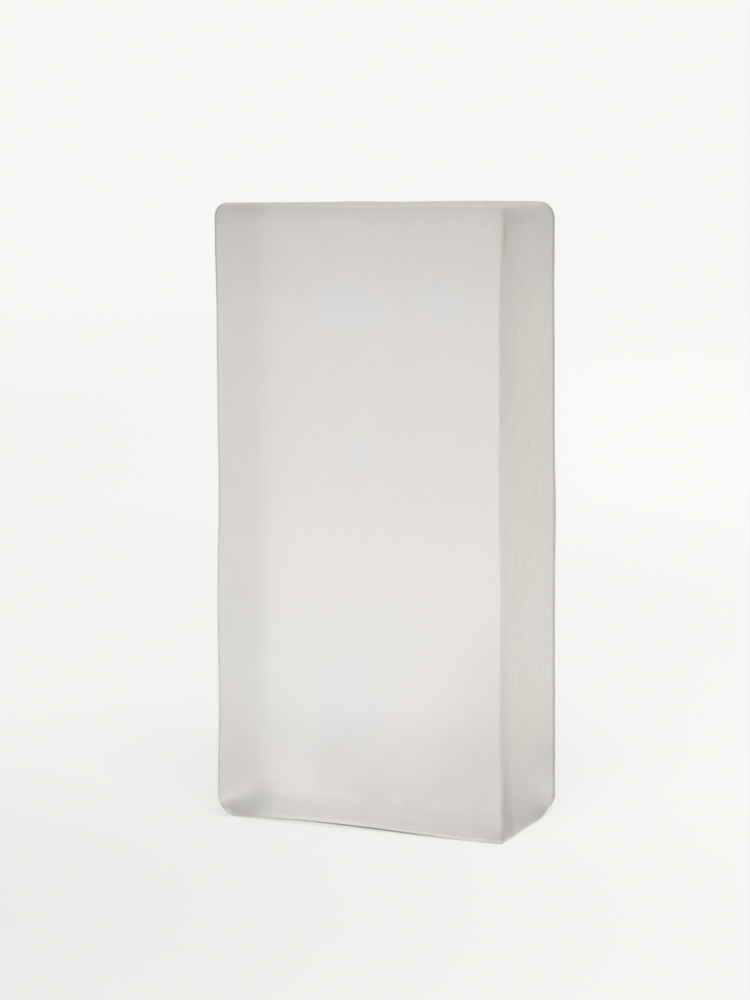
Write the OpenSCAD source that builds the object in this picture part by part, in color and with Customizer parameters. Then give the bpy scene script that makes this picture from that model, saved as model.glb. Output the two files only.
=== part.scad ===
// Solid cast-glass block with frosted faces, standing on its narrow end.
// The front looks along -Y, +Z is up, and the origin is the middle of the foot.

/* [Block] */
// Width across the front, from corner to corner
block_w = 100; // [60:1:200]
// Thickness from the front to the back
block_d = 50; // [30:1:100]
// Height as it stands on its end
block_h = 200; // [120:1:300]

/* [Edges] */
// Radius of the four corners of the outline, seen from the front
corner_r = 4.5; // [3:0.1:12]
// Radius of the front rim
front_rim_r = 1.6; // [0.5:0.1:2.5]
// Radius of the back rim
back_rim_r = 2; // [0.5:0.1:2.5]

/* [Sunken faces] */
// How far each flank draws in at the front rim, between its corners
front_waist = 1.1; // [0:0.1:3]
// How far each flank draws in at the back rim, between its corners
back_waist = 0.3; // [0:0.1:3]
// Length over which a flank flares out again below and above its corners
flare_l = 26; // [10:1:50]
// How far the front face sinks at its middle
front_sink = 0.8; // [0:0.1:3]
// How far the back face sinks at its middle
back_sink = 0.5; // [0:0.1:3]

/* [Hidden] */
// Number of straight pieces in a corner's quarter round
corner_steps = 6;
// Number of straight pieces in a side of the outline
side_steps = 14;
// Number of straight pieces in a rim's quarter round
rim_steps = 5;
// Number of bands from the front rim to the back rim
flank_steps = 4;
// Outlines of a sunken face, as shares of its rim's outline, from the rim to the middle
face_shares = [0.94, 0.84, 0.7, 0.5, 0.25];

half_w = block_w / 2;
half_d = block_d / 2;
middle = [0, block_h / 2];

// Soft step from 0 to 1, level at both ends
function soft_step(t) =
    let (s = min(max(t, 0), 1))
    s * s * (3 - 2 * s);

// Share of the waist's full depth at height z: none at the corners, all of it past the flare
function waist_share(z) =
    soft_step((min(z, block_h - z) - corner_r) / flare_l);

// Depth of the waist at depth y, which eases from the front rim's to the back rim's
function waist_at(y) =
    let (s = (y + half_d) / block_d)
    front_waist + (back_waist - front_waist) * s;

// Centre of corner q, counted from the lower right, anticlockwise seen from the front
function corner_centre(q) =
    [
        (q < 2 ? 1 : -1) * (half_w - corner_r),
        q == 1 || q == 2 ? block_h - corner_r : corner_r
    ];

// Point on corner q at a share of its quarter round, with the outline drawn in by inset
function corner_point(q, share, inset) =
    let (a = 90 * (q - 1 + share))
    corner_centre(q) + (corner_r - inset) * [cos(a), sin(a)];

// Side q runs from corner q to the next one, with its points closer together near the corners
function side_point(q, share, inset) =
    let (
        from = corner_point(q, 1, inset),
        to = corner_point((q + 1) % 4, 0, inset),
        s = (1 - cos(180 * share)) / 2
    )
    from + (to - from) * s;

// The block's outline, drawn in by inset, as a ring of [x, z] points
function outline(inset) =
    [
        for (q = [0:3])
            each concat(
                [for (i = [0:corner_steps]) corner_point(q, i / corner_steps, inset)],
                [for (i = [1:side_steps - 1]) side_point(q, i / side_steps, inset)]
            )
    ];

// Places a ring of [x, z] points at depth y, with its flanks drawn in to the waist
function ring_at(points, y) =
    [
        for (p = points)
            [p.x * (1 - waist_at(y) * waist_share(p.y) / half_w), y, p.y]
    ];

// A ring of the outline shrunk about its middle by a share
function shrunk(points, share) =
    [for (p = points) middle + share * (p - middle)];

// Rings of a sunken face from its rim to its middle; inward is +1 at the front and -1 at the back
function face_rings(rim_r, sink, y_face, inward) =
    [
        for (share = face_shares)
            ring_at(
                shrunk(outline(rim_r), share),
                y_face + inward * sink * soft_step((1 - share) / (1 - face_shares[4]))
            )
    ];

// Rings of a rim's quarter round, from the flat face to the flank
function rim_rings(rim_r, y_face, inward) =
    [
        for (i = [0:rim_steps])
            let (a = 90 * i / rim_steps)
            ring_at(outline(rim_r * (1 - sin(a))), y_face + inward * rim_r * (1 - cos(a)))
    ];

// Rings of the flanks between the two rims
function flank_rings() =
    let (
        y0 = front_rim_r - half_d,
        y1 = half_d - back_rim_r
    )
    [
        for (i = [1:flank_steps - 1])
            ring_at(outline(0), y0 + (y1 - y0) * i / flank_steps)
    ];

function reversed(list) = [for (i = [len(list) - 1:-1:0]) list[i]];

// Middle of a level ring about the block's centre line
function middle_of(ring) = [middle.x, ring[0].y, middle.y];

// Solid skinned over a stack of rings with equal point counts, with its ends fanned from their middles
module skin(rings) {
    count = len(rings[0]);
    last = len(rings) - 1;
    first_middle = count * len(rings);
    last_middle = first_middle + 1;
    points = concat(
        [for (ring = rings) each ring],
        [middle_of(rings[0]), middle_of(rings[last])]
    );
    bands = [
        for (k = [0:last - 1], i = [0:count - 1])
            let (j = (i + 1) % count)
            [k * count + i, k * count + j, (k + 1) * count + j, (k + 1) * count + i]
    ];
    first_end = [for (i = [0:count - 1]) [first_middle, (i + 1) % count, i]];
    last_end = [for (i = [0:count - 1]) [last_middle, last * count + i, last * count + (i + 1) % count]];
    polyhedron(points, concat(first_end, bands, last_end));
}

module glass_block() {
    front = concat(
        reversed(face_rings(front_rim_r, front_sink, -half_d, 1)),
        rim_rings(front_rim_r, -half_d, 1)
    );
    back = concat(
        reversed(rim_rings(back_rim_r, half_d, -1)),
        face_rings(back_rim_r, back_sink, half_d, -1)
    );
    color([0.88, 0.865, 0.85])
        skin(concat(front, flank_rings(), back));
}

glass_block();
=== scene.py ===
"""Frosted cast-glass block on a pale studio floor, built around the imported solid."""
import math

import bpy
import numpy as np
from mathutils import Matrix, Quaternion, Vector, noise


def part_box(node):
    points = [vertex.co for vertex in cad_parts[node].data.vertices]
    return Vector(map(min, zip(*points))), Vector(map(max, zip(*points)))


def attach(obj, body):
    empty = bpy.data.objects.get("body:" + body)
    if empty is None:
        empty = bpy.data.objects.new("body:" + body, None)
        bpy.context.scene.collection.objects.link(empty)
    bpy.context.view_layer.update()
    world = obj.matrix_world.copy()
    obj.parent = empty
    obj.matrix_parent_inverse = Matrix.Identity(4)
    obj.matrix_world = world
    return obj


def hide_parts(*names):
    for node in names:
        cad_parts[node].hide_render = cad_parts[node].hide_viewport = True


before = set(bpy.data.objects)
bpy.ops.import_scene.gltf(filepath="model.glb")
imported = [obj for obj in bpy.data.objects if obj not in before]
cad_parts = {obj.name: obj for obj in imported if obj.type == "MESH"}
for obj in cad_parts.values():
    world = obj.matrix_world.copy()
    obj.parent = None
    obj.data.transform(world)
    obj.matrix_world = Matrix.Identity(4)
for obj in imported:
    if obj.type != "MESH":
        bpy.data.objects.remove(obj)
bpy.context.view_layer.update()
scene = bpy.context.scene
scene.view_settings.view_transform = "Standard"
scene.cycles.max_bounces = 24
scene.cycles.transmission_bounces = 24
scene.cycles.glossy_bounces = 16

MM = 0.001

# Sizes of the block in millimetres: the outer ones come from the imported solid
low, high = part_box("glass_block")
WIDTH, DEPTH, HEIGHT = ((high - low) / MM)[:]
HALF_W, HALF_D = WIDTH / 2, DEPTH / 2
FRONT_RIM_R = 1.6
BACK_RIM_R = 0.9
FRONT_SINK = 0.8
BACK_SINK = 0.5

# Radius of each corner of the outline at the front and at the back.
# It grows past this share of the half depth
CORNER_GROWS = 0.45
HEAD_LEFT_R = (4.5, 5.5)
HEAD_RIGHT_R = (5.0, 5.7)
FOOT_LEFT_R = (7.0, 7.3)
FOOT_RIGHT_R = (1.5, 5.6)

# How far each flank draws in at the front and the back rim, at these heights
FLANK_HEIGHTS = (6.0, 20.0, 36.0, 52.0, 68.0, 84.0, 100.0, 116.0, 132.0, 150.0, 168.0, 184.0, 196.0)
LEFT_FRONT = (0.0, 0.21, 0.7, 0.58, 0.45, 0.73, 1.22, 1.38, 1.28, 1.22, 1.28, 0.96, 0.93)
LEFT_BACK = (0.0, 0.1, 0.2, 0.2, 0.2, 0.25, 0.3, 0.3, 0.4, 0.5, 0.6, 0.6, 0.4)
RIGHT_FRONT = (0.0, 0.35, 0.89, 0.71, 0.69, 0.68, 1.3, 1.39, 1.2, 1.18, 1.25, 0.96, 0.11)
RIGHT_BACK = (0.0, 0.1, 0.12, 0.27, 0.36, 0.36, 0.14, 0.6, 0.77, 0.86, 1.08, 1.1, 1.09)
FLANK_BLEND = 10.0

# How far the foot and the head draw in, at these places across, fading over a length of the flanks
END_PLACES = (-45.0, -32.0, -19.0, -6.0, 7.0, 20.0, 33.0, 46.0)
FOOT_FRONT = (0.4, 0.6, 1.1, 0.95, 0.65, 0.22, 0.0, 0.0)
HEAD_FRONT = (0.0, 0.1, 0.3, 0.58, 0.68, 0.24, 0.0, 0.47)
HEAD_BACK = (0.74, 0.51, 0.23, 0.41, 0.11, 0.0, 0.0, 0.0)
END_BLEND = 9.0
END_RISE = 30.0

# Shares of the half width and the half height over which the faces sink to their middle
DISH_ACROSS_SHARE = 0.75
DISH_UPWARD_SHARE = 0.5

# Relief of the casting, measured inwards: grain on the flanks, waves on the faces and a seam at the foot.
# A face or flank counts as such from this turn of its normal, over this blend
TURN_FROM = 0.6
TURN_BLEND = 0.35
FLANK_GRAIN = 0.12
GRAIN_SIZE = 5.0
GRAIN_STRETCH = 1.5
FACE_WAVE = 0.1
WAVE_SIZE = 24.0
SEAM_HEIGHT = 2.3
SEAM_WIDTH = 0.5
SEAM_DEPTH = 0.08

# Grid lines of the mesh: close together over the rounded edges, even elsewhere
EDGE_LINES = (0.0, 0.4, 0.8, 1.2, 1.6, 2.0, 2.5, 3.0, 3.6, 4.4, 5.3, 6.3, 7.4, 8.5)
GRID = 1.15


def soft_step(t):
    s = np.clip(t, 0.0, 1.0)
    return s * s * (3.0 - 2.0 * s)


def grid_lines(length):
    edge = np.array(EDGE_LINES)
    inner = length - 2.0 * edge[-1]
    middle = np.linspace(edge[-1], length - edge[-1], round(inner / GRID) + 1)
    return np.concatenate([edge[:-1], middle, (length - edge[:-1])[::-1]])


def box_skin():
    """Points and quads of a sharp box, with its grid lines shared along the edges."""
    xs = grid_lines(WIDTH) - HALF_W
    ys = grid_lines(DEPTH) - HALF_D
    zs = grid_lines(HEIGHT)
    shape = (len(xs), len(ys), len(zs))
    outside = np.zeros(shape, dtype=bool)
    outside[[0, -1], :, :] = True
    outside[:, [0, -1], :] = True
    outside[:, :, [0, -1]] = True
    index = np.full(shape, -1)
    index[outside] = np.arange(outside.sum())
    i, j, k = np.nonzero(outside)
    points = np.stack([xs[i], ys[j], zs[k]], axis=1)
    on_flank = np.isin(i, (0, shape[0] - 1)) | np.isin(k, (0, shape[2] - 1))
    on_face = np.where(j == 0, -1, np.where(j == shape[1] - 1, 1, 0))

    def quads(grid, turned):
        corners = [grid[:-1, :-1], grid[1:, :-1], grid[1:, 1:], grid[:-1, 1:]]
        made = np.stack(corners, axis=-1).reshape(-1, 4)
        return made[:, ::-1] if turned else made

    faces = np.concatenate([
        quads(index[:, 0, :], False),
        quads(index[:, -1, :], True),
        quads(index[0, :, :], True),
        quads(index[-1, :, :], False),
        quads(index[:, :, 0], True),
        quads(index[:, :, -1], False),
    ])
    return points, faces, on_flank, on_face


def corner_radius(x, y, zc):
    """Radius of the corner nearest to each point, at the point's depth."""
    at_front, at_back = (
        np.where(
            zc < 0.0,
            np.where(x < 0.0, FOOT_LEFT_R[end], FOOT_RIGHT_R[end]),
            np.where(x < 0.0, HEAD_LEFT_R[end], HEAD_RIGHT_R[end]),
        )
        for end in (0, 1)
    )
    return at_front + (at_back - at_front) * soft_step((y / HALF_D - CORNER_GROWS) / (1.0 - CORNER_GROWS))


def rounded(points, on_flank, on_face):
    """Rounds the outline's corners and the front and back rims of the sharp box."""
    x, y, z = points.T
    zc = z - HEIGHT / 2
    corner_r = corner_radius(x, y, zc)
    from_side = HALF_W - np.abs(x)
    from_end = HEIGHT / 2 - np.abs(zc)
    inset = np.minimum(from_side, from_end)
    along = np.abs(from_side - from_end)
    new_inset = inset.copy()
    new_y = y.copy()
    for side, radius in ((-1, FRONT_RIM_R), (1, BACK_RIM_R)):
        to_face = HALF_D - side * y
        rim = on_flank & (to_face < radius) & (on_face == 0)
        turn = (1.0 - to_face[rim] / radius) * math.pi / 4
        new_inset[rim] = radius * (1.0 - np.cos(turn))
        new_y[rim] = side * (HALF_D - radius * (1.0 - np.sin(turn)))
        rim = (on_face == side) & (inset < radius)
        turn = (1.0 - inset[rim] / radius) * math.pi / 4
        new_inset[rim] = radius * (1.0 - np.sin(turn))
        new_y[rim] = side * (HALF_D - radius * (1.0 - np.cos(turn)))
    by_side = from_side <= from_end
    new_x = np.where(by_side, HALF_W - new_inset, np.abs(x))
    new_z = np.where(by_side, np.abs(zc), HEIGHT / 2 - new_inset)
    corner = along < corner_r - inset
    turn = (1.0 - along / np.maximum(corner_r - inset, 1e-6)) * math.pi / 4
    radius = np.maximum(corner_r - new_inset, 0.0)
    long_leg = radius * np.cos(turn)
    short_leg = radius * np.sin(turn)
    corner_x = HALF_W - corner_r + np.where(by_side, long_leg, short_leg)
    corner_z = HEIGHT / 2 - corner_r + np.where(by_side, short_leg, long_leg)
    new_x = np.where(corner, corner_x, new_x)
    new_z = np.where(corner, corner_z, new_z)
    return np.stack([np.sign(x) * new_x, new_y, np.sign(zc) * new_z + HEIGHT / 2], axis=1)


def profile(places, depths, blend, at):
    """Smooth curve through the depths given for these places."""
    weights = np.exp(-(((at[:, None] - np.array(places)) / blend) ** 2))
    return weights @ np.array(depths) / weights.sum(axis=1)


def drawn_in(x, share, z):
    """How far the flank nearest to each point draws in, at a share of the way to the back."""
    depths = [
        profile(FLANK_HEIGHTS, front, FLANK_BLEND, z) * (1.0 - share)
        + profile(FLANK_HEIGHTS, rear, FLANK_BLEND, z) * share
        for front, rear in ((LEFT_FRONT, LEFT_BACK), (RIGHT_FRONT, RIGHT_BACK))
    ]
    return np.where(x < 0.0, *depths)


def raised(x, share, z):
    """How far each point rises with the front's foot or sinks with the head."""
    foot, head_front, head_back = (
        profile(END_PLACES, depths, END_BLEND, x) for depths in (FOOT_FRONT, HEAD_FRONT, HEAD_BACK)
    )
    head = head_front * (1.0 - share) + head_back * share
    near_head = soft_step(1.0 - (HEIGHT - z) / END_RISE)
    return foot * (1.0 - share) * soft_step(1.0 - z / END_RISE) - head * near_head


def sunk(points, on_face):
    """Draws the flanks and the ends in, and lets the front and back faces sink."""
    x, y, z = points.T
    share = y / DEPTH + 0.5
    across = 1.0 - np.abs(x) / HALF_W
    upward = 1.0 - np.abs(z / HEIGHT - 0.5) * 2.0
    dish = soft_step(across / DISH_ACROSS_SHARE) * soft_step(upward / DISH_UPWARD_SHARE)
    sink = np.where(on_face < 0, FRONT_SINK, np.where(on_face > 0, -BACK_SINK, 0.0))
    new_x = x * (1.0 - drawn_in(x, share, z) / HALF_W)
    return np.stack([new_x, y + sink * dish, z + raised(x, share, z)], axis=1)


def relief(points, normals):
    """Depth of the casting's relief at each point."""
    sideways, frontways = np.abs(normals[:, 0]), np.abs(normals[:, 1])
    stretch = np.array((1.0, 1.0, 1.0 / GRAIN_STRETCH)) / GRAIN_SIZE
    grain = np.array([noise.fractal(place, 1.0, 2.0, 3) for place in points * stretch])
    wave = np.array([noise.noise(place) for place in points / WAVE_SIZE])
    seam = np.exp(-(((points[:, 2] - SEAM_HEIGHT) / SEAM_WIDTH) ** 2))
    on_side = soft_step((sideways - TURN_FROM) / TURN_BLEND)
    on_front = soft_step((frontways - TURN_FROM) / TURN_BLEND)
    depth = FLANK_GRAIN * on_side * np.clip(0.5 + 0.5 * grain, 0.0, 1.0)
    depth += FACE_WAVE * on_front * np.clip(0.5 + 0.5 * wave, 0.0, 1.0)
    return depth + SEAM_DEPTH * seam * np.maximum(on_side, on_front)


points, faces, on_flank, on_face = box_skin()
points = sunk(rounded(points, on_flank, on_face), on_face)
mesh = bpy.data.meshes.new("cast_block")
mesh.from_pydata((points * MM).tolist(), [], faces.tolist())
normals = np.empty(points.size)
mesh.vertex_normals.foreach_get("vector", normals)
normals = normals.reshape(-1, 3)
points -= normals * relief(points, normals)[:, None]
mesh.vertices.foreach_set("co", (points * MM).ravel())
mesh.update()
mesh.shade_smooth()
block = bpy.data.objects.new("cast_block", mesh)
scene.collection.objects.link(block)
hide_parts("glass_block")
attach(block, "root")


class Nodes:
    """Adds nodes to a node tree, whose inputs are numbers, colours or the outputs of other nodes."""

    def __init__(self, tree):
        self.tree = tree

    def feed(self, socket, value):
        if isinstance(value, bpy.types.NodeSocket):
            self.tree.links.new(value, socket)
        else:
            socket.default_value = value

    def add(self, kind, inputs, **settings):
        node = self.tree.nodes.new(kind)
        for name, value in settings.items():
            setattr(node, name, value)
        for key, value in inputs.items():
            self.feed(node.inputs[key], value)
        return node

    def math(self, operation, a, b=0.0):
        return self.add("ShaderNodeMath", {0: a, 1: b}, operation=operation).outputs[0]

    def vector(self, operation, a, b=(0.0, 0.0, 0.0)):
        node = self.add("ShaderNodeVectorMath", {0: a, 1: b}, operation=operation)
        gives_number = operation in ("LENGTH", "DISTANCE", "DOT_PRODUCT")
        return node.outputs["Value" if gives_number else "Vector"]

    def scaled(self, vector, share):
        node = self.add("ShaderNodeVectorMath", {0: vector, "Scale": share}, operation="SCALE")
        return node.outputs["Vector"]

    def ramp(self, value, low, high, start=0.0, end=1.0):
        node = self.add(
            "ShaderNodeMapRange",
            {"Value": value, "From Min": low, "From Max": high, "To Min": start, "To Max": end},
            interpolation_type="SMOOTHSTEP",
        )
        return node.outputs["Result"]

    def noise(self, place, scale, detail=2.0):
        node = self.add("ShaderNodeTexNoise", {"Vector": place, "Scale": scale, "Detail": detail})
        return node.outputs[0]

    def split(self, vector):
        return self.add("ShaderNodeSeparateXYZ", {"Vector": vector}).outputs

    def blend(self, share, a, b):
        node = self.add("ShaderNodeMix", {}, data_type="RGBA")
        self.feed(node.inputs["Factor"], share)
        self.feed(node.inputs[6], a)
        self.feed(node.inputs[7], b)
        return node.outputs[2]

    def curve(self, value, spots):
        node = self.add("ShaderNodeFloatCurve", {"Value": value})
        line = node.mapping.curves[0]
        line.points[0].location = spots[0]
        line.points[1].location = spots[-1]
        for spot in spots[1:-1]:
            line.points.new(*spot)
        for point in line.points:
            point.handle_type = "AUTO_CLAMPED"
        node.mapping.update()
        return node.outputs["Value"]

    def patch(self, place, centre, size):
        """Soft patch that is 1 at the centre and 0 one size away from it."""
        offset = self.vector("DIVIDE", self.vector("SUBTRACT", place, centre), size)
        return self.ramp(self.vector("LENGTH", offset), 1.0, 0.0)


def new_material(name):
    material = bpy.data.materials.new(name)
    material.use_nodes = True
    tree = material.node_tree
    return material, Nodes(tree), tree.nodes["Principled BSDF"]


# Frosted glass: the colour tints the light that passes through each surface
GLASS = (0.985, 0.953, 0.934, 1.0)
COOL = (0.945, 0.975, 1.03, 1.0)
OLIVE = (0.985, 0.99, 0.945, 1.0)
STAIN = (0.8, 0.76, 0.64, 1.0)
WHITE = (1.0, 1.0, 1.0, 1.0)
FACE_ROUGHNESS = 0.48
LEFT_ROUGHNESS = 0.36
RIGHT_ROUGHNESS = 0.85
END_ROUGHNESS = 0.85
UNDER_ROUGHNESS = 0.2
CLOUD_ROUGHNESS = 0.04
GLASS_IOR = 1.5

# Scales of the noises, per millimetre
BLOTCH_SCALE = 0.35
STREAK_SCALES = (0.4, 0.4, 0.2)
FLECK_SCALES = (0.7, 0.7, 0.5)
PIT_SCALE = 0.65
CLOUD_SCALE = 0.11
SKIN_SCALE = 0.8

# Turns of the normal between which a surface becomes a flank or an end
FLANK_TURN = (0.4, 0.9)

# Where the smooth underside starts: the turn of its normal at the left and the right, between these
# places across, and its upper and front limits
LEFT_UNDER_TURN = (0.5, 0.8)
RIGHT_UNDER_TURN = (0.93, 0.99)
UNDER_ACROSS = (-20.0, 0.0)
UNDER_HEIGHT = (8.0, 6.0)
UNDER_FRONT = (-23.0, -20.0)

# Painted light and shade by share of the height, as (share, tint)
# Painted light and shade on the left flank, by height
LEFT_LIGHT_AND_SHADE_TINTS = (
    (0.0, 1.0), (0.05, 0.96), (0.11, 0.95), (0.2, 0.95), (0.3, 0.95),
    (0.5, 1.0), (0.68, 1.05), (0.87, 1.02), (0.95, 0.8), (1.0, 0.65),
)
# Painted shade on the right flank, by height
RIGHT_SHADE_TINTS = (
    (0.0, 0.76), (0.06, 0.735), (0.12, 0.765), (0.2, 0.81), (0.3, 0.82),
    (0.5, 0.835), (0.7, 0.825), (0.9, 0.87), (1.0, 0.87),
)
# Painted light and shade along the near edge of the right flank, by height
NEAR_EDGE_LIGHT_AND_SHADE_TINTS = (
    (0.0, 1.05), (0.1, 1.03), (0.2, 1.02), (0.3, 1.0), (0.6, 0.98),
    (0.72, 0.9), (0.82, 0.86), (0.92, 0.88), (1.0, 0.95),
)
# Painted shade on the front face low down, by height
FOOT_SHADE_TINTS = (
    (0.0, 0.88), (0.018, 0.855), (0.038, 0.94), (0.055, 0.905), (0.074, 0.802), (0.09, 0.783), (0.1, 0.795),
    (0.115, 0.84), (0.13, 0.888), (0.15, 0.922), (0.175, 0.952), (0.23, 1.0), (1.0, 1.0),
)
# Painted light and shade over the whole height: slightly lighter low down, darker towards the head
HEIGHT_LIGHT_AND_SHADE_TINTS = (
    (0.0, 1.03), (0.1, 1.03), (0.3, 1.03), (0.4, 1.02), (0.53, 0.99),
    (0.67, 0.965), (0.8, 0.932), (0.88, 0.865), (0.965, 0.805), (1.0, 0.765),
)

# Painted light and shade on parts of the form, and tints of the marks on it
# Painted light on the left flank, at its front and at its back
LEFT_FRONT_LIGHT_TINT = 1.08
LEFT_BACK_LIGHT_TINT = 1.14
# Painted shade along the left rim, darker towards the head
LEFT_RIM_SHADE_TINTS = (0.6, 0.4)
# Painted shade along the rear rim of the right flank
REAR_RIM_SHADE_TINT = 0.62
# Painted shadow in the rim under the front's foot
FOOT_SHADOW_TINT = 0.12
# Painted highlight on the rim just above the foot
FOOT_HIGHLIGHT_TINT = 1.25
# Painted light on the surfaces that face up
HEAD_LIGHT_TINT = 1.15
BLOTCH_TINTS = (0.985, 1.015)
FLECK_TINT = 0.94
STREAK_TINT = 0.02
PIT_TINT = 0.85
PIT_DEPTH = 0.8
SKIN_BUMP = 0.4
SKIN_DEPTH = 0.1

# Marks of the casting as (middle, reach) in millimetres: cool clearer glass and brown stains.
# The patches of painted light and shade have a tint as well, below 1 where they paint shade and above 1
# where they paint light
COOL_PATCHES = (
    ((-7.0, -24.5, 46.0), (36.0, 60.0, 32.0)),
    ((-21.0, -24.5, 38.0), (22.0, 90.0, 22.0)),
    ((-2.5, -24.5, 167.0), (20.0, 10.0, 13.0)),
    ((28.8, -24.5, 170.0), (11.0, 10.0, 12.0)),
    ((2.0, -24.5, 122.0), (9.0, 10.0, 11.0)),
)
STAINS = (
    ((49.0, -23.0, 191.0), (4.0, 4.0, 10.0)),
    ((49.0, -17.0, 5.5), (4.0, 4.5, 6.0)),
    ((49.0, 21.5, 3.5), (4.5, 3.5, 4.0)),
    ((47.5, -24.5, 2.0), (6.0, 3.0, 3.0)),
)
# Where the painted shadow in the rim under the front's foot lies
FOOT_SHADOW_PATCH = ((2.0, -24.5, 0.5), (52.0, 7.0, 8.0))
# Patches of painted shade near the right edge, the foot and the rear foot, and of painted light at the left
# foot
LIGHT_AND_SHADE_PATCHES = (
    ((50.0, -24.5, 25.0), (38.0, 12.0, 75.0), 0.84),
    ((20.0, -24.5, 13.0), (46.0, 12.0, 12.0), 0.84),
    ((48.0, 14.0, 2.0), (8.0, 22.0, 7.0), 0.85),
    ((-26.0, -24.5, 26.0), (23.0, 12.0, 34.0), 1.13),
    ((-35.0, -24.5, 5.0), (12.0, 12.0, 9.0), 1.2),
)

glass, g, shader = new_material("frosted_glass")
place = g.scaled(g.add("ShaderNodeTexCoord", {}).outputs["Object"], 1.0 / MM)
x, y, z = g.split(place)
turn_x, turn_y, turn_z = g.split(g.add("ShaderNodeNewGeometry", {}).outputs["Normal"])
sideways, frontways, upward = (g.math("ABSOLUTE", part) for part in (turn_x, turn_y, turn_z))
height = g.math("DIVIDE", z, HEIGHT)

# Painted light and shade that follow the form: the flanks, the ends, painted shade in the rims, a painted
# shadow along the foot and a painted highlight above it
left_light_and_shade = g.math(
    "MULTIPLY", g.curve(height, LEFT_LIGHT_AND_SHADE_TINTS), g.ramp(y, -25.0, 22.0, LEFT_FRONT_LIGHT_TINT, LEFT_BACK_LIGHT_TINT)
)
right_flank_shade = g.math(
    "MULTIPLY", g.curve(height, RIGHT_SHADE_TINTS), g.ramp(y, -24.0, -4.0, g.curve(height, NEAR_EDGE_LIGHT_AND_SHADE_TINTS), 1.0)
)
# Painted light on the left flank and painted shade on the right flank
flank_light_and_shade = g.ramp(x, -20.0, 40.0, left_light_and_shade, right_flank_shade)
flank = g.ramp(sideways, *FLANK_TURN)
left_rim = g.math("MULTIPLY", g.ramp(turn_x, -0.1, -0.45), g.ramp(turn_y, -0.08, -0.35))
rear_rim = g.math("MULTIPLY", g.ramp(turn_x, 0.1, 0.4), g.ramp(y, 20.5, 23.5))
foot_rim = g.math("MULTIPLY", g.ramp(turn_z, -0.3, -0.5), g.ramp(turn_z, -0.99, -0.93))
# Painted shadow of the gap under the front's foot
foot_shadow = g.math("MULTIPLY", foot_rim, g.patch(place, *FOOT_SHADOW_PATCH))
# Painted highlight on the rim where it turns under towards the foot
foot_highlight = g.math("MULTIPLY", g.ramp(turn_z, -0.03, -0.15), g.ramp(turn_z, -0.45, -0.3))
factors = (
    # painted light and shade by height
    g.curve(height, HEIGHT_LIGHT_AND_SHADE_TINTS),
    # painted shade on the front face near the foot
    g.ramp(turn_y, -0.4, -0.9, 1.0, g.curve(height, FOOT_SHADE_TINTS)),
    g.ramp(sideways, *FLANK_TURN, 1.0, flank_light_and_shade),
    # painted shade in the left rim
    g.ramp(left_rim, 0.0, 1.0, 1.0, g.ramp(height, 0.6, 0.9, *LEFT_RIM_SHADE_TINTS)),
    # painted shade in the rear rim
    g.ramp(rear_rim, 0.0, 1.0, 1.0, REAR_RIM_SHADE_TINT),
    g.ramp(foot_shadow, 0.0, 1.0, 1.0, FOOT_SHADOW_TINT),
    g.ramp(foot_highlight, 0.0, 1.0, 1.0, FOOT_HIGHLIGHT_TINT),
    # painted light on the head
    g.ramp(turn_z, 0.3, 0.8, 1.0, HEAD_LIGHT_TINT),
    # patches of painted light and shade
    *(g.ramp(g.patch(place, middle, reach), 0.0, 1.0, 1.0, patch_tint) for middle, reach, patch_tint in LIGHT_AND_SHADE_PATCHES),
)

# Marks all over: blotches, streaks and flecks on the flanks, and small dark pits
blotch = g.noise(place, BLOTCH_SCALE, 3.0)
streak = g.noise(g.vector("MULTIPLY", place, STREAK_SCALES), 1.0, 4.0)
fleck = g.ramp(g.noise(g.vector("MULTIPLY", place, FLECK_SCALES), 1.0, 2.0), 0.56, 0.7)
pits = g.ramp(g.noise(place, PIT_SCALE, 1.0), 0.72, 0.82)
factors += (
    g.ramp(blotch, 0.25, 0.75, *BLOTCH_TINTS),
    g.ramp(g.math("MULTIPLY", flank, fleck), 0.0, 1.0, 1.0, FLECK_TINT),
    g.math("ADD", 1.0, g.math("MULTIPLY", flank, g.ramp(streak, 0.3, 0.7, -STREAK_TINT, STREAK_TINT))),
    g.ramp(pits, 0.0, 1.0, 1.0, PIT_TINT),
)
tint = factors[0]
for factor in factors[1:]:
    tint = g.math("MULTIPLY", tint, factor)

cloud = g.noise(place, CLOUD_SCALE, 3.0)
cool = 0.0
for middle, reach in COOL_PATCHES:
    cool = g.math("ADD", cool, g.patch(place, middle, reach))
cool = g.math("MULTIPLY", cool, g.ramp(cloud, 0.3, 0.6, 0.7, 1.0))
stain = 0.0
for middle, reach in STAINS:
    stain = g.math("ADD", stain, g.patch(place, middle, reach))
stain = g.math("MULTIPLY", stain, g.ramp(blotch, 0.3, 0.6, 0.5, 1.0))
olive = g.math("MULTIPLY", flank, g.ramp(x, 0.0, 40.0))
colour = g.vector("MULTIPLY", g.blend(cool, GLASS, COOL), g.blend(stain, WHITE, STAIN))
colour = g.vector("MULTIPLY", colour, g.blend(olive, WHITE, OLIVE))
g.feed(shader.inputs["Base Color"], g.vector("MINIMUM", g.scaled(colour, tint), WHITE[:3]))

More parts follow.
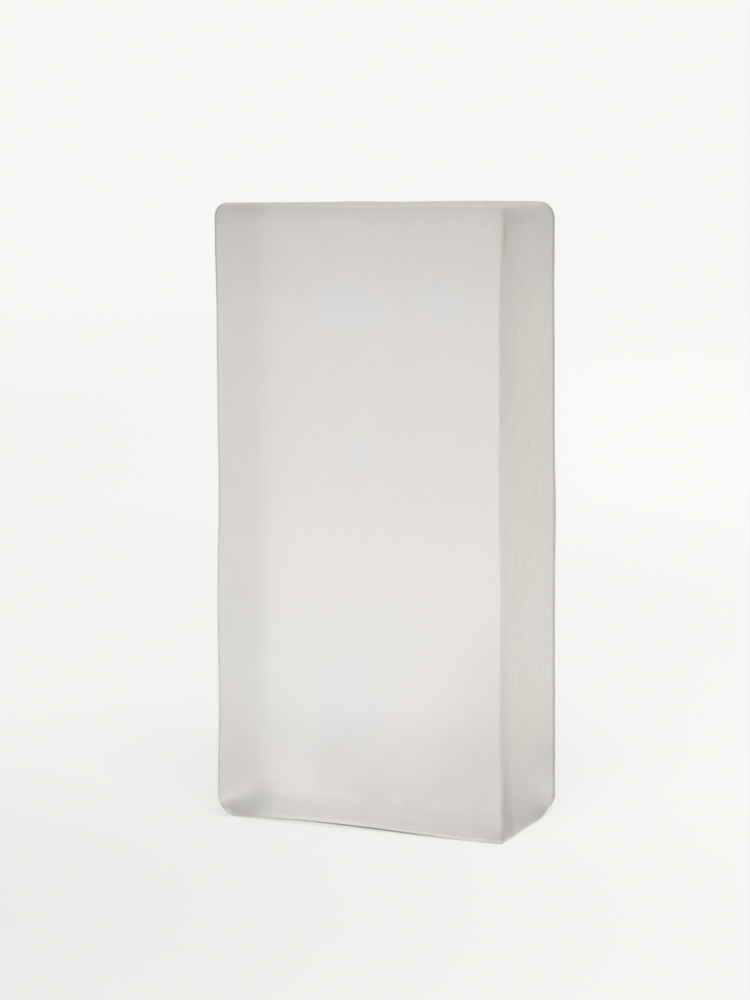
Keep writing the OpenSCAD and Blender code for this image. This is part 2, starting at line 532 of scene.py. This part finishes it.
# The left flank and the underside are smoother than the faces, the right flank and the head
flank_roughness = g.ramp(x, -30.0, 30.0, LEFT_ROUGHNESS, RIGHT_ROUGHNESS)
end_roughness = g.ramp(upward, *FLANK_TURN, flank_roughness, END_ROUGHNESS)
roughness = g.ramp(frontways, 0.3, 0.9, end_roughness, FACE_ROUGHNESS)
under_turns = (g.ramp(x, *UNDER_ACROSS, *ends) for ends in zip(LEFT_UNDER_TURN, RIGHT_UNDER_TURN))
underside = g.ramp(upward, *under_turns)
underside = g.math("MULTIPLY", underside, g.ramp(z, *UNDER_HEIGHT))
underside = g.math("MULTIPLY", underside, g.ramp(y, *UNDER_FRONT))
roughness = g.ramp(underside, 0.0, 1.0, roughness, UNDER_ROUGHNESS)
clouded = g.ramp(cloud, 0.3, 0.7, -CLOUD_ROUGHNESS, CLOUD_ROUGHNESS)
g.feed(shader.inputs["Roughness"], g.math("ADD", roughness, clouded))
rough_skin = g.math("SUBTRACT", g.noise(place, SKIN_SCALE, 4.0), g.math("MULTIPLY", pits, PIT_DEPTH))
bump = g.add("ShaderNodeBump", {"Strength": SKIN_BUMP, "Distance": SKIN_DEPTH * MM, "Height": rough_skin})
g.feed(shader.inputs["Normal"], bump.outputs["Normal"])
shader.inputs["IOR"].default_value = GLASS_IOR
shader.inputs["Transmission Weight"].default_value = 1.0
mesh.materials.append(glass)

# Floor: it takes the shadow near the block and fades to the plain backdrop farther out, with painted shade
# at the front left and a painted gradient that is brighter to the right.
# Seen through the glass it glows as a painted pool of light, which is brightest under the block
FLOOR_R = 9.0
PALE = (0.905, 0.902, 0.885, 1.0)
# Painted pool of light that the floor shows through the glass
POOL = (-0.3, 0.36, 0.0)
POOL_REACH = 0.6
POOL_LEVEL = 1.0
OUTER_LEVEL = 0.78
UNDER_REACH = (0.05, 0.14)
UNDER_LEVEL = 1.1
# Painted gradient across the floor near the block, brighter to the right
ACROSS = (0.918, 0.397, 0.0)
ACROSS_REACH = 0.3
ACROSS_LEVELS = (0.985, 1.05)
BACKDROP_FADE = (0.9, 3.5)
SHADOW_FADE = (0.25, 0.9)
SHADOW_SHARE = 0.82
PAPER_ROUGHNESS = 0.9
SKY = 1.02
# Painted shade on the floor at the front left
DIM_CORNER = (-0.09, -0.2, 0.0)
DIM_REACH = 0.4
DIM_LEVEL = 0.855
bpy.ops.mesh.primitive_circle_add(vertices=96, radius=FLOOR_R, fill_type="NGON")
floor = bpy.context.object
floor.name = "studio_floor"
paper, g, shader = new_material("studio_paper")
shader.inputs["Base Color"].default_value = PALE
shader.inputs["Roughness"].default_value = PAPER_ROUGHNESS
shader.inputs["Specular IOR Level"].default_value = 0.0
place = g.add("ShaderNodeTexCoord", {}).outputs["Object"]
through = g.add("ShaderNodeLightPath", {}).outputs["Is Transmission Ray"]
pool = g.ramp(g.vector("DISTANCE", place, POOL), 0.0, POOL_REACH, POOL_LEVEL, OUTER_LEVEL)
far = g.vector("LENGTH", place)
pool = g.ramp(far, *UNDER_REACH, UNDER_LEVEL, pool)
edges = (g.ramp(far, *BACKDROP_FADE, edge, SKY) for edge in ACROSS_LEVELS)
across = g.ramp(g.vector("DOT_PRODUCT", place, ACROSS), -ACROSS_REACH, ACROSS_REACH, *edges)
corner = g.ramp(g.vector("DISTANCE", place, DIM_CORNER), 0.0, DIM_REACH, DIM_LEVEL, 1.0)
shade = g.math("MULTIPLY", across, corner)
share = g.math("MAXIMUM", g.ramp(far, *SHADOW_FADE, SHADOW_SHARE, 1.0), through)
level = g.add("ShaderNodeMix", {"Factor": through, "A": shade, "B": pool}).outputs["Result"]
glow = g.add("ShaderNodeEmission", {"Color": PALE, "Strength": level}).outputs["Emission"]
surface = g.add("ShaderNodeMixShader", {"Fac": share, 1: shader.outputs["BSDF"], 2: glow}).outputs["Shader"]
g.feed(paper.node_tree.nodes["Material Output"].inputs["Surface"], surface)
paper.cycles.emission_sampling = "NONE"
floor.data.materials.append(paper)

# World: a studio that is pale low down, where the backdrop is, and darker overhead and in front
ZENITH = 0.1
ZENITH_RISE = (0.25, 0.8)
FRONT_SHARE = 0.8
FRONT_TURN = (-0.9, 0.6)
world = bpy.data.worlds.new("studio")
scene.world = world
world.use_nodes = True
g = Nodes(world.node_tree)
air = world.node_tree.nodes["Background"]
air.inputs["Color"].default_value = PALE
x, y, z = g.split(g.add("ShaderNodeTexCoord", {}).outputs["Generated"])
above = g.ramp(z, *ZENITH_RISE, SKY, ZENITH)
behind = g.ramp(y, *FRONT_TURN, FRONT_SHARE, 1.0)
g.feed(air.inputs["Strength"], g.math("MULTIPLY", above, behind))


def area_light(name, place, target, size, power):
    data = bpy.data.lights.new(name, "AREA")
    data.shape = "DISK"
    data.size = size
    data.energy = power
    lamp = bpy.data.objects.new(name, data)
    lamp.location = place
    lamp.rotation_mode = "QUATERNION"
    lamp.rotation_quaternion = (Vector(target) - Vector(place)).to_track_quat("-Z", "Y")
    lamp.visible_camera = False
    scene.collection.objects.link(lamp)
    return lamp


# The ceiling lamp lights the floor alone, and the weak fill reaches the block from the left
CEILING_POWER = 52.0
FILL_POWER = 3.5
stage_only = bpy.data.collections.new("stage_only")
stage_only.objects.link(floor)
block_only = bpy.data.collections.new("block_only")
block_only.objects.link(block)
ceiling = area_light("ceiling", (0.5, -1.2, 1.8), (0.0, 0.0, 0.0), 1.8, CEILING_POWER)
ceiling.light_linking.receiver_collection = stage_only
fill = area_light("fill", (-1.3, -0.2, 0.45), (0.0, 0.0, 0.1), 0.9, FILL_POWER)
fill.light_linking.receiver_collection = block_only
fill.visible_glossy = False

# Camera at the photograph's viewing angle
AZIMUTH = math.radians(23.221)
PITCH = math.radians(7.162)
ROLL = math.radians(-0.184)
DISTANCE = 0.882295
AIM_HEIGHT = 0.103931
AIM_LEFT = 0.003552
SENSOR_WIDTH = 36.0
LENS = 97.996
back = Vector((
    math.sin(AZIMUTH) * math.cos(PITCH),
    -math.cos(AZIMUTH) * math.cos(PITCH),
    math.sin(PITCH),
))
right = Vector((math.cos(AZIMUTH), math.sin(AZIMUTH), 0.0))
aim = Vector((0.0, 0.0, AIM_HEIGHT)) - right * AIM_LEFT
camera_data = bpy.data.cameras.new("camera")
camera_data.sensor_width = SENSOR_WIDTH
camera_data.lens = LENS
camera = bpy.data.objects.new("camera", camera_data)
camera.location = aim + back * DISTANCE
camera.rotation_mode = "QUATERNION"
camera.rotation_quaternion = (-back).to_track_quat("-Z", "Y") @ Quaternion((0.0, 0.0, 1.0), ROLL)
scene.collection.objects.link(camera)
scene.camera = camera
